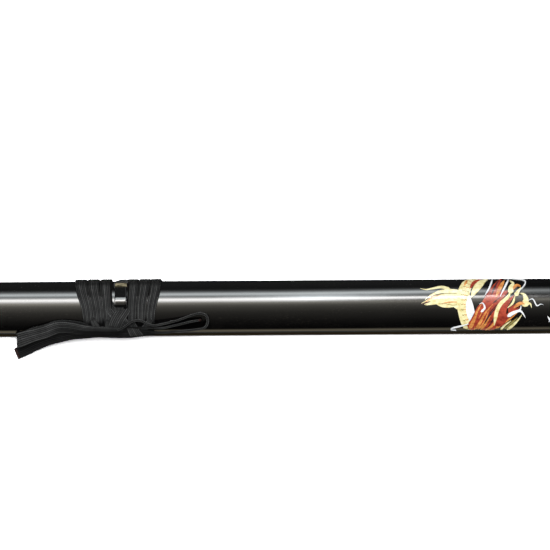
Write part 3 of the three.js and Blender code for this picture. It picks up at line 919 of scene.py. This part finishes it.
# Brush strokes in print order: ink, width, shape and the points of the stroke, in millimetres
# along the scabbard from the motif's middle and round it from the top towards -Y.
# A leaf is pointed at both ends, a flame only at its last, and the band keeps its width.
STROKES = [
    ("cream", 3.4, "flame", [(-10, -4.5), (-16, -7.2), (-22, -6), (-27, -5), (-31, -6.2)]),
    ("cream", 4.8, "flame", [(-1, -1), (-9, -3.4), (-17, -3), (-24, 0.2), (-28, 3.4)]),
    ("cream", 6.6, "flame", [(0, 1.6), (-9, 0), (-18, 0.9), (-26, 4), (-30.5, 5.8)]),
    ("cream", 5.2, "flame", [(0.5, 4.6), (-8, 4), (-16, 4.8), (-24, 6.4), (-28, 7.2)]),
    ("cream", 3.0, "leaf", [(-6, 2.2), (-17, 3), (-24, 5.2), (-28.5, 6.6)]),
    ("cream", 3.0, "leaf", [(-1, 6), (-8, 7), (-15, 7.6), (-20, 6.6)]),
    ("cream", 2.6, "leaf", [(0, 8.2), (-5, 9), (-9, 7.4)]),
    ("orange", 1.3, "leaf", [(-16, -1), (-22, 1.2), (-28, 5.2)]),
    ("dark", 1.0, "leaf", [(-24, 4.4), (-28, 5.6), (-31, 6.4)]),
    ("orange", 0.8, "leaf", [(-3, 5.2), (-10, 5), (-17, 6)]),
    ("olive", 0.6, "leaf", [(-3, -0.4), (-10, -1.6), (-18, -0.6), (-24, 2.4)]),
    ("olive", 0.5, "leaf", [(-3, 6.8), (-9, 7.2), (-14, 6.4)]),
    ("cream", 8.4, "band", [(9.3, -18), (3.3, -13), (-0.6, -4), (-1.9, 5), (-0.9, 14),
                            (1.4, 22), (4.6, 26.5)]),
    ("red", 2.8, "leaf", [(11.2, -17), (7, -12), (3.2, -5.5)]),
    ("orange", 1.4, "leaf", [(2, -15), (-0.6, -8)]),
    ("white", 5.6, "leaf", [(2.4, 0.5), (2.6, 8), (3.8, 15), (6.6, 22)]),
    ("cream", 5.2, "leaf", [(16.3, -17), (12, -12.5), (6.4, -3), (3.8, 2)]),
    ("red", 8.4, "flame", [(3.4, 25.5), (6.4, 18), (10.4, 8.5), (17, 1)]),
    ("orange", 3.0, "flame", [(2.6, 24.5), (5, 18.5), (7.6, 12), (11.2, 6)]),
    ("orange", 1.6, "flame", [(6, 25.6), (8.6, 18), (11.4, 11), (14.6, 6)]),
    ("dark", 7.0, "flame", [(14.6, 9), (17.8, 2), (22.4, -6), (24.9, -13), (26.7, -18)]),
    ("red", 8.0, "flame", [(13.4, 9), (16.3, 3), (19.4, -4), (22.8, -11), (25.8, -18)]),
    ("red", 6.0, "leaf", [(14, 11), (19, 5), (24, 0.6), (29.5, -3.4)]),
    ("dark", 0.9, "leaf", [(16, 10), (20, 5), (25, 0.8)]),
    ("orange", 2.6, "leaf", [(20.6, 2), (24.1, -6), (27.5, -14)]),
    ("dark", 1.4, "leaf", [(17.6, 1), (20.6, -7), (23.6, -14)]),
    ("white", 1.1, "leaf", [(12.9, 1), (16.3, -5), (18.5, -12), (19.4, -18)]),
    ("white", 1.3, "leaf", [(23.6, 1.5), (27.1, -6), (29.7, -13), (30.5, -18)]),
    ("white", 1.8, "flame", [(10.3, 12), (12.9, 9.5), (11.6, 6), (9, 6.8)]),
    ("red", 7.0, "flame", [(7.7, 24.5), (11.6, 17), (16.3, 9.5), (25.8, 3.5)]),
    ("red", 6.5, "flame", [(11.2, 25.5), (15.9, 19), (19.8, 11), (27.5, 4)]),
    ("red", 5.5, "flame", [(15.5, 26), (20.6, 20), (23.6, 12), (27.5, 6)]),
    ("orange", 2.4, "flame", [(7.3, 24.5), (10.3, 18), (13.8, 12), (18.9, 6.5)]),
    ("orange", 2.0, "flame", [(10.3, 25.5), (14.2, 19), (17.2, 13), (20.6, 9)]),
    ("orange", 2.0, "flame", [(13.8, 26), (18.5, 21), (21.5, 15), (23.2, 9)]),
    ("orange", 1.3, "flame", [(8.6, 25), (12.9, 18), (16.3, 9.5)]),
    ("dark", 1.2, "leaf", [(12, 21), (15.9, 14.5), (21.1, 8.5)]),
    ("dark", 1.0, "leaf", [(15, 23), (19.4, 16), (22.4, 11)]),
    ("cream", 3.2, "leaf", [(19.4, 21.5), (20.6, 14), (23.6, 7.5), (29.2, 1.5), (31, -3)]),
    ("red", 6.4, "flame", [(24.1, 17), (25.8, 10), (29.7, 4.5), (33.5, 0.5)]),
    ("orange", 2.2, "flame", [(20.6, 24), (25.8, 19.5), (31, 16), (35.3, 12.5)]),
    ("red", 4.6, "flame", [(21.5, 22), (25.8, 18), (29.2, 14), (37, 9)]),
    ("cream", 4.2, "flame", [(31, -1), (31.4, -6), (33.1, -10), (31, -13.5)]),
    ("orange", 2.0, "leaf", [(32.7, -4), (35.3, -8), (38.3, -7)]),
    ("cream", 3.4, "flame", [(34.4, 1), (36.5, -3), (38.7, -6)]),
    ("cream", 1.4, "leaf", [(28.4, 9.5), (32.2, 6), (34, 0.5)]),
    ("cream", 5.4, "flame", [(39.6, 8.5), (41.3, 4), (40, 0), (37.4, -1)]),
    ("cream", 2.2, "flame", [(40.4, 8), (43.9, 6.5), (45.1, 9.5)]),
    ("red", 4.2, "flame", [(29.2, 12), (34.4, 8), (39.6, 5)]),
    ("orange", 2.4, "leaf", [(32.7, 9.5), (37, 6.5), (40.4, 6.8)]),
    ("white", 2.8, "flame", [(28.4, 15), (32.7, 12.6), (37.4, 11.5), (40.9, 16)]),
    ("white", 1.6, "flame", [(35.3, 12), (37.4, 10), (37.8, 7.5)]),
    ("cream", 2.2, "flame", [(28.4, 25.5), (32.7, 21), (36.1, 17), (38.7, 13.5)]),
    ("cream", 1.5, "flame", [(24.1, 25.5), (26.7, 21.5), (31, 18)]),
    ("olive", 1.0, "leaf", [(26.7, 24.5), (31, 20), (35.3, 16)]),
    ("white", 0.7, "leaf", [(35.7, -1), (39.6, -6), (41.7, -11), (39.6, -15.5),
                            (35.3, -17.5), (32.7, -19)]),
    ("white", 0.7, "leaf", [(42.6, 4.5), (46, 3.5), (48.6, 8), (51.2, 7), (53.3, 7.6)]),
    ("white", 0.6, "leaf", [(2.1, 20), (-3, 21.8), (-8.5, 23.6), (-10, 25.4), (-6.5, 26.4)]),
    ("white", 1.6, "leaf", [(55.9, 15), (58, 17.5), (61.9, 16), (66.2, 19)]),
    ("white", 1.0, "leaf", [(56.8, 19), (58.5, 16.5), (60.2, 12)]),
]
SCALES = 13  # rows of crescents along the band


def surface_angles():
    """Distance round the lacquer from the top, against the angle."""
    angle = np.radians(np.linspace(-110, 130, 481))
    run = oval_run(HALF_WIDTH, HALF_HEIGHT, angle)
    return run - np.interp(0, angle, run), angle


ARC, ARC_ANGLE = surface_angles()


def on_lacquer(s, t, lift):
    """Points over the lacquer from distances along and round it, in metres."""
    angle = np.interp(t, ARC, ARC_ANGLE)
    a, b = HALF_WIDTH + COAT + lift, HALF_HEIGHT + COAT + lift
    return np.stack([MOTIF_X + s, -a * np.sin(angle), AXIS_Z + b * np.cos(angle)], axis=-1)


def stroke_widths(shape, width, share):
    if shape == "band":
        return width * (0.75 + 0.25 * np.sin(np.pi * share)) * np.clip((1 - share) * 9 + 0.12, 0, 1)
    if shape == "flame":
        return width * np.clip(share * 7 + 0.25, 0, 1) * (1 - share) ** 0.8 + 0.06 * MM
    return width * np.sin(np.pi * np.clip(share, 0.004, 0.996)) ** 0.75 + 0.05 * MM


def brush(points, width, shape, layer):
    """One stroke as a thin closed plate on the lacquer: its vertices and faces."""
    line = even_steps(catmull_rom(np.array(points) * MM, 12), INK_STEP, 2)
    ahead = unit(np.gradient(line, axis=0))
    side = np.stack([-ahead[:, 1], ahead[:, 0]], axis=1)
    wide = stroke_widths(shape, width * MM, np.linspace(0, 1, len(line)))
    lift = INK_LAYER * (layer + 1)
    columns = np.linspace(-0.5, 0.5, 7)
    flat = line[:, None] + side[:, None] * (columns[None, :, None] * wide[:, None, None])
    top = on_lacquer(flat[..., 0], flat[..., 1], lift)
    under = on_lacquer(flat[..., 0], flat[..., 1], 0.002 * MM)
    rings = np.concatenate([top, under[:, ::-1]], axis=1)
    rows, count, _ = rings.shape
    faces = loft_faces(rows, count, False).tolist()
    faces += [list(range(count))[::-1], [(rows - 1) * count + i for i in range(count)]]
    return rings.reshape(-1, 3), faces


def scale_strokes(points):
    """Rows of small crescents across a band."""
    line = even_steps(catmull_rom(np.array(points), 12), 0.4, 2)
    ahead = unit(np.gradient(line, axis=0))
    made = []
    for i in range(SCALES):
        at = int((i + 1) / (SCALES + 1) * (len(line) - 1))
        middle, forward = line[at], ahead[at]
        side = np.array([-forward[1], forward[0]])
        for place, ink in ((-0.32, "olive"), (-0.12, "orange"), (0.1, "olive")):
            centre = middle + side * place * 8
            crescent = [centre - side * 0.9, centre + forward * 0.7, centre + side * 0.9]
            made.append((ink, 0.45, "leaf", [tuple(p) for p in crescent]))
    return made


def make_motif():
    """One piece for each ink. The crescents are printed right after the band they lie on."""
    strokes = []
    for stroke in STROKES:
        strokes.append(stroke)
        if stroke[2] == "band":
            strokes += scale_strokes(stroke[3])
    gathered = {}
    for layer, (ink, width, shape, points) in enumerate(strokes):
        vertices, faces = brush(points, width, shape, layer)
        every, quads = gathered.setdefault(ink, ([], []))
        base = sum(len(v) for v in every)
        every.append(vertices)
        quads += [[i + base for i in face] for face in faces]
    for ink, (every, quads) in gathered.items():
        piece = add_mesh(f"motif_{ink}", np.concatenate(every), quads, INKS[ink], smooth=False)
        finish_piece(piece, "decal")


make_motif()


# ---- floor and light ----
def make_floor():
    size = 6.0
    corners = [(-size, -size, 0), (size, -size, 0), (size, size, 0), (-size, size, 0)]
    floor = add_mesh("floor", corners, [(0, 1, 2, 3)], floor_material(), smooth=False)
    floor.visible_glossy = False


def make_panel():
    """A large soft panel over the scabbard that lights only what is matt."""
    lean = math.radians(10)  # from overhead towards the camera's side
    size = 2.2
    radiance = 5.6
    distance = 2.5
    data = bpy.data.lights.new("overhead_panel", "AREA")
    data.shape = "SQUARE"
    data.size = size
    data.energy = radiance * math.pi * size * size
    lamp = bpy.data.objects.new("overhead_panel", data)
    lamp.location = Vector((-0.1, 0, 0)) + Vector((0, -math.sin(lean), math.cos(lean))) * distance
    lamp.rotation_euler = (lean, 0, 0)
    lamp.visible_camera = False
    lamp.visible_glossy = False
    bpy.context.scene.collection.objects.link(lamp)


# What a shiny surface sees all round: how bright each direction is, against the angle in degrees
# from overhead, positive towards the camera's side. Past 90 it looks down at the floor.
MAIN_STRIP = [(-30, 0), (-27.5, 0.2), (-25, 0.55), (-22.5, 0.97), (-19, 1), (-16, 0.7),
              (-13, 0.33), (-9.5, 0)]
AFTERGLOW = [(-16, 0), (-12.5, 0.5), (-9, 1), (-5, 0.62), (-1, 0.38), (4, 0.27), (9, 0.2),
             (15, 0.15), (22, 0.1), (32, 0.07), (45, 0.045), (62, 0.02), (88, 0.006),
             (120, 0.003), (178, 0.001)]
FLOOR_GLOW = [(122, 0), (128, 0.01), (136, 0.14), (150, 0.2), (162, 0.12), (174, 0.02),
              (179, 0.002)]
BACK_STRIP = [(-170, 0.006), (-120, 0.005), (-104, 0.003), (-86, 0.008), (-58, 0.01), (-52, 0.06),
              (-47, 0.24), (-43, 0.62), (-39.5, 1), (-36, 0.8), (-32, 0.42), (-28, 0.3), (-24, 0)]
MAIN_LEVEL = 38.0
BACK_LEVELS = (18.0, 7.0)  # at the left and the right
GLOW_LEVELS = (9.5, 6.5)
FLOOR_LEVEL = 7.0
TILT_RIGHT = math.radians(14)  # how far the strips lean over by the picture's right side
SLIM_SHARE = 0.7  # what is left of the main strip's width there
# From where to where each change runs, in a direction's share along +X.
STRIPS_LEAN, MAIN_SLIMS = (0.0, 0.158), (0.0, 0.05)
MAIN_ENDS, MAIN_RETURNS = (0.061, 0.069), (0.12, 0.2)
BACK_DIMS, GLOW_DIMS = (0.051, 0.071), (-0.07, -0.015)
# A small soft glare: its level, its share along +X with its angle behind overhead, and its size.
GLARE_LEVEL = 20.0
GLARE_AT = (0.0127, math.radians(25))
GLARE_SIZE = (0.0145, math.radians(9))


def sky_ramp(m, angle, stops, sharper=1.0):
    """The brightness of one band of sky, its slopes drawn in towards its middle by sharper."""
    peak = max(stops, key=lambda stop: stop[1])[0]
    spread = [((peak + (at - peak) * sharper + 180) / 360, grey(level)) for at, level in stops]
    return m.ramp(angle, spread)


def add_light(m, total, level, tint):
    """total with one more light of that level and tint in it."""
    light = m.add("ShaderNodeVectorMath", operation="SCALE")
    light.inputs[0].default_value = tint
    m.feed(light.inputs["Scale"], level)
    if total is None:
        return light.outputs["Vector"]
    added = m.add("ShaderNodeVectorMath", operation="ADD")
    m.feed(added.inputs[0], total)
    m.feed(added.inputs[1], light.outputs["Vector"])
    return added.outputs["Vector"]


def make_world():
    """The studio. Shiny surfaces see its strips, matt ones a dimmer surround that falls off towards
    the back, and the camera plain white."""
    world = bpy.data.worlds.new("studio")
    bpy.context.scene.world = world
    m = Nodes("studio", world)
    x, y, z = m.split(m.add("ShaderNodeTexCoord").outputs["Generated"])
    angle = m.math("ARCTAN2", m.product(y, -1.0), z)
    angle = m.math("ADD", angle, m.range(x, *STRIPS_LEAN, 0.0, TILT_RIGHT))
    turn = m.range(angle, -math.pi, math.pi)
    wide, slim = sky_ramp(m, turn, MAIN_STRIP), sky_ramp(m, turn, MAIN_STRIP, SLIM_SHARE)
    shown = m.math("ADD", m.soft(x, *MAIN_ENDS, 1.0, 0.0), m.soft(x, *MAIN_RETURNS))
    main = m.product(m.product(m.mix(m.soft(x, *MAIN_SLIMS), wide, slim), shown), MAIN_LEVEL)
    back = m.product(sky_ramp(m, turn, BACK_STRIP), m.soft(x, *BACK_DIMS, *BACK_LEVELS))
    glow = m.product(sky_ramp(m, turn, AFTERGLOW), m.soft(x, *GLOW_DIMS, *GLOW_LEVELS))
    below = m.product(sky_ramp(m, turn, FLOOR_GLOW), FLOOR_LEVEL)
    glare_x = m.math("DIVIDE", m.math("SUBTRACT", x, GLARE_AT[0]), GLARE_SIZE[0])
    glare_a = m.math("DIVIDE", m.math("ADD", angle, GLARE_AT[1]), GLARE_SIZE[1])
    away = m.math("ADD", m.product(glare_x, glare_x), m.product(glare_a, glare_a))
    glare = m.product(m.math("EXPONENT", m.product(away, -1.0)), GLARE_LEVEL)
    total = None
    for level, tint in ((main, (1.0, 0.99, 0.97)), (back, (0.93, 0.99, 1.0)),
                        (glow, (1.0, 0.96, 0.84)), (below, (1.0, 0.89, 0.64)),
                        (glare, (0.86, 0.94, 1.0))):
        total = add_light(m, total, level, tint)
    ambient = m.ramp(m.range(y, -1.0, 1.0), [
        (0.3, (0.33, 0.33, 0.34)), (0.62, (0.16, 0.16, 0.17)), (0.9, (0.03, 0.03, 0.035))])
    path = m.add("ShaderNodeLightPath").outputs
    matt = m.mix(path["Is Glossy Ray"], ambient, total)
    seen = m.mix(path["Is Camera Ray"], matt, grey(0.97))
    m.feed(m.tree.nodes["Background"].inputs["Color"], seen)


make_floor()
make_panel()
make_world()
bpy.context.scene.view_settings.view_transform = "Standard"
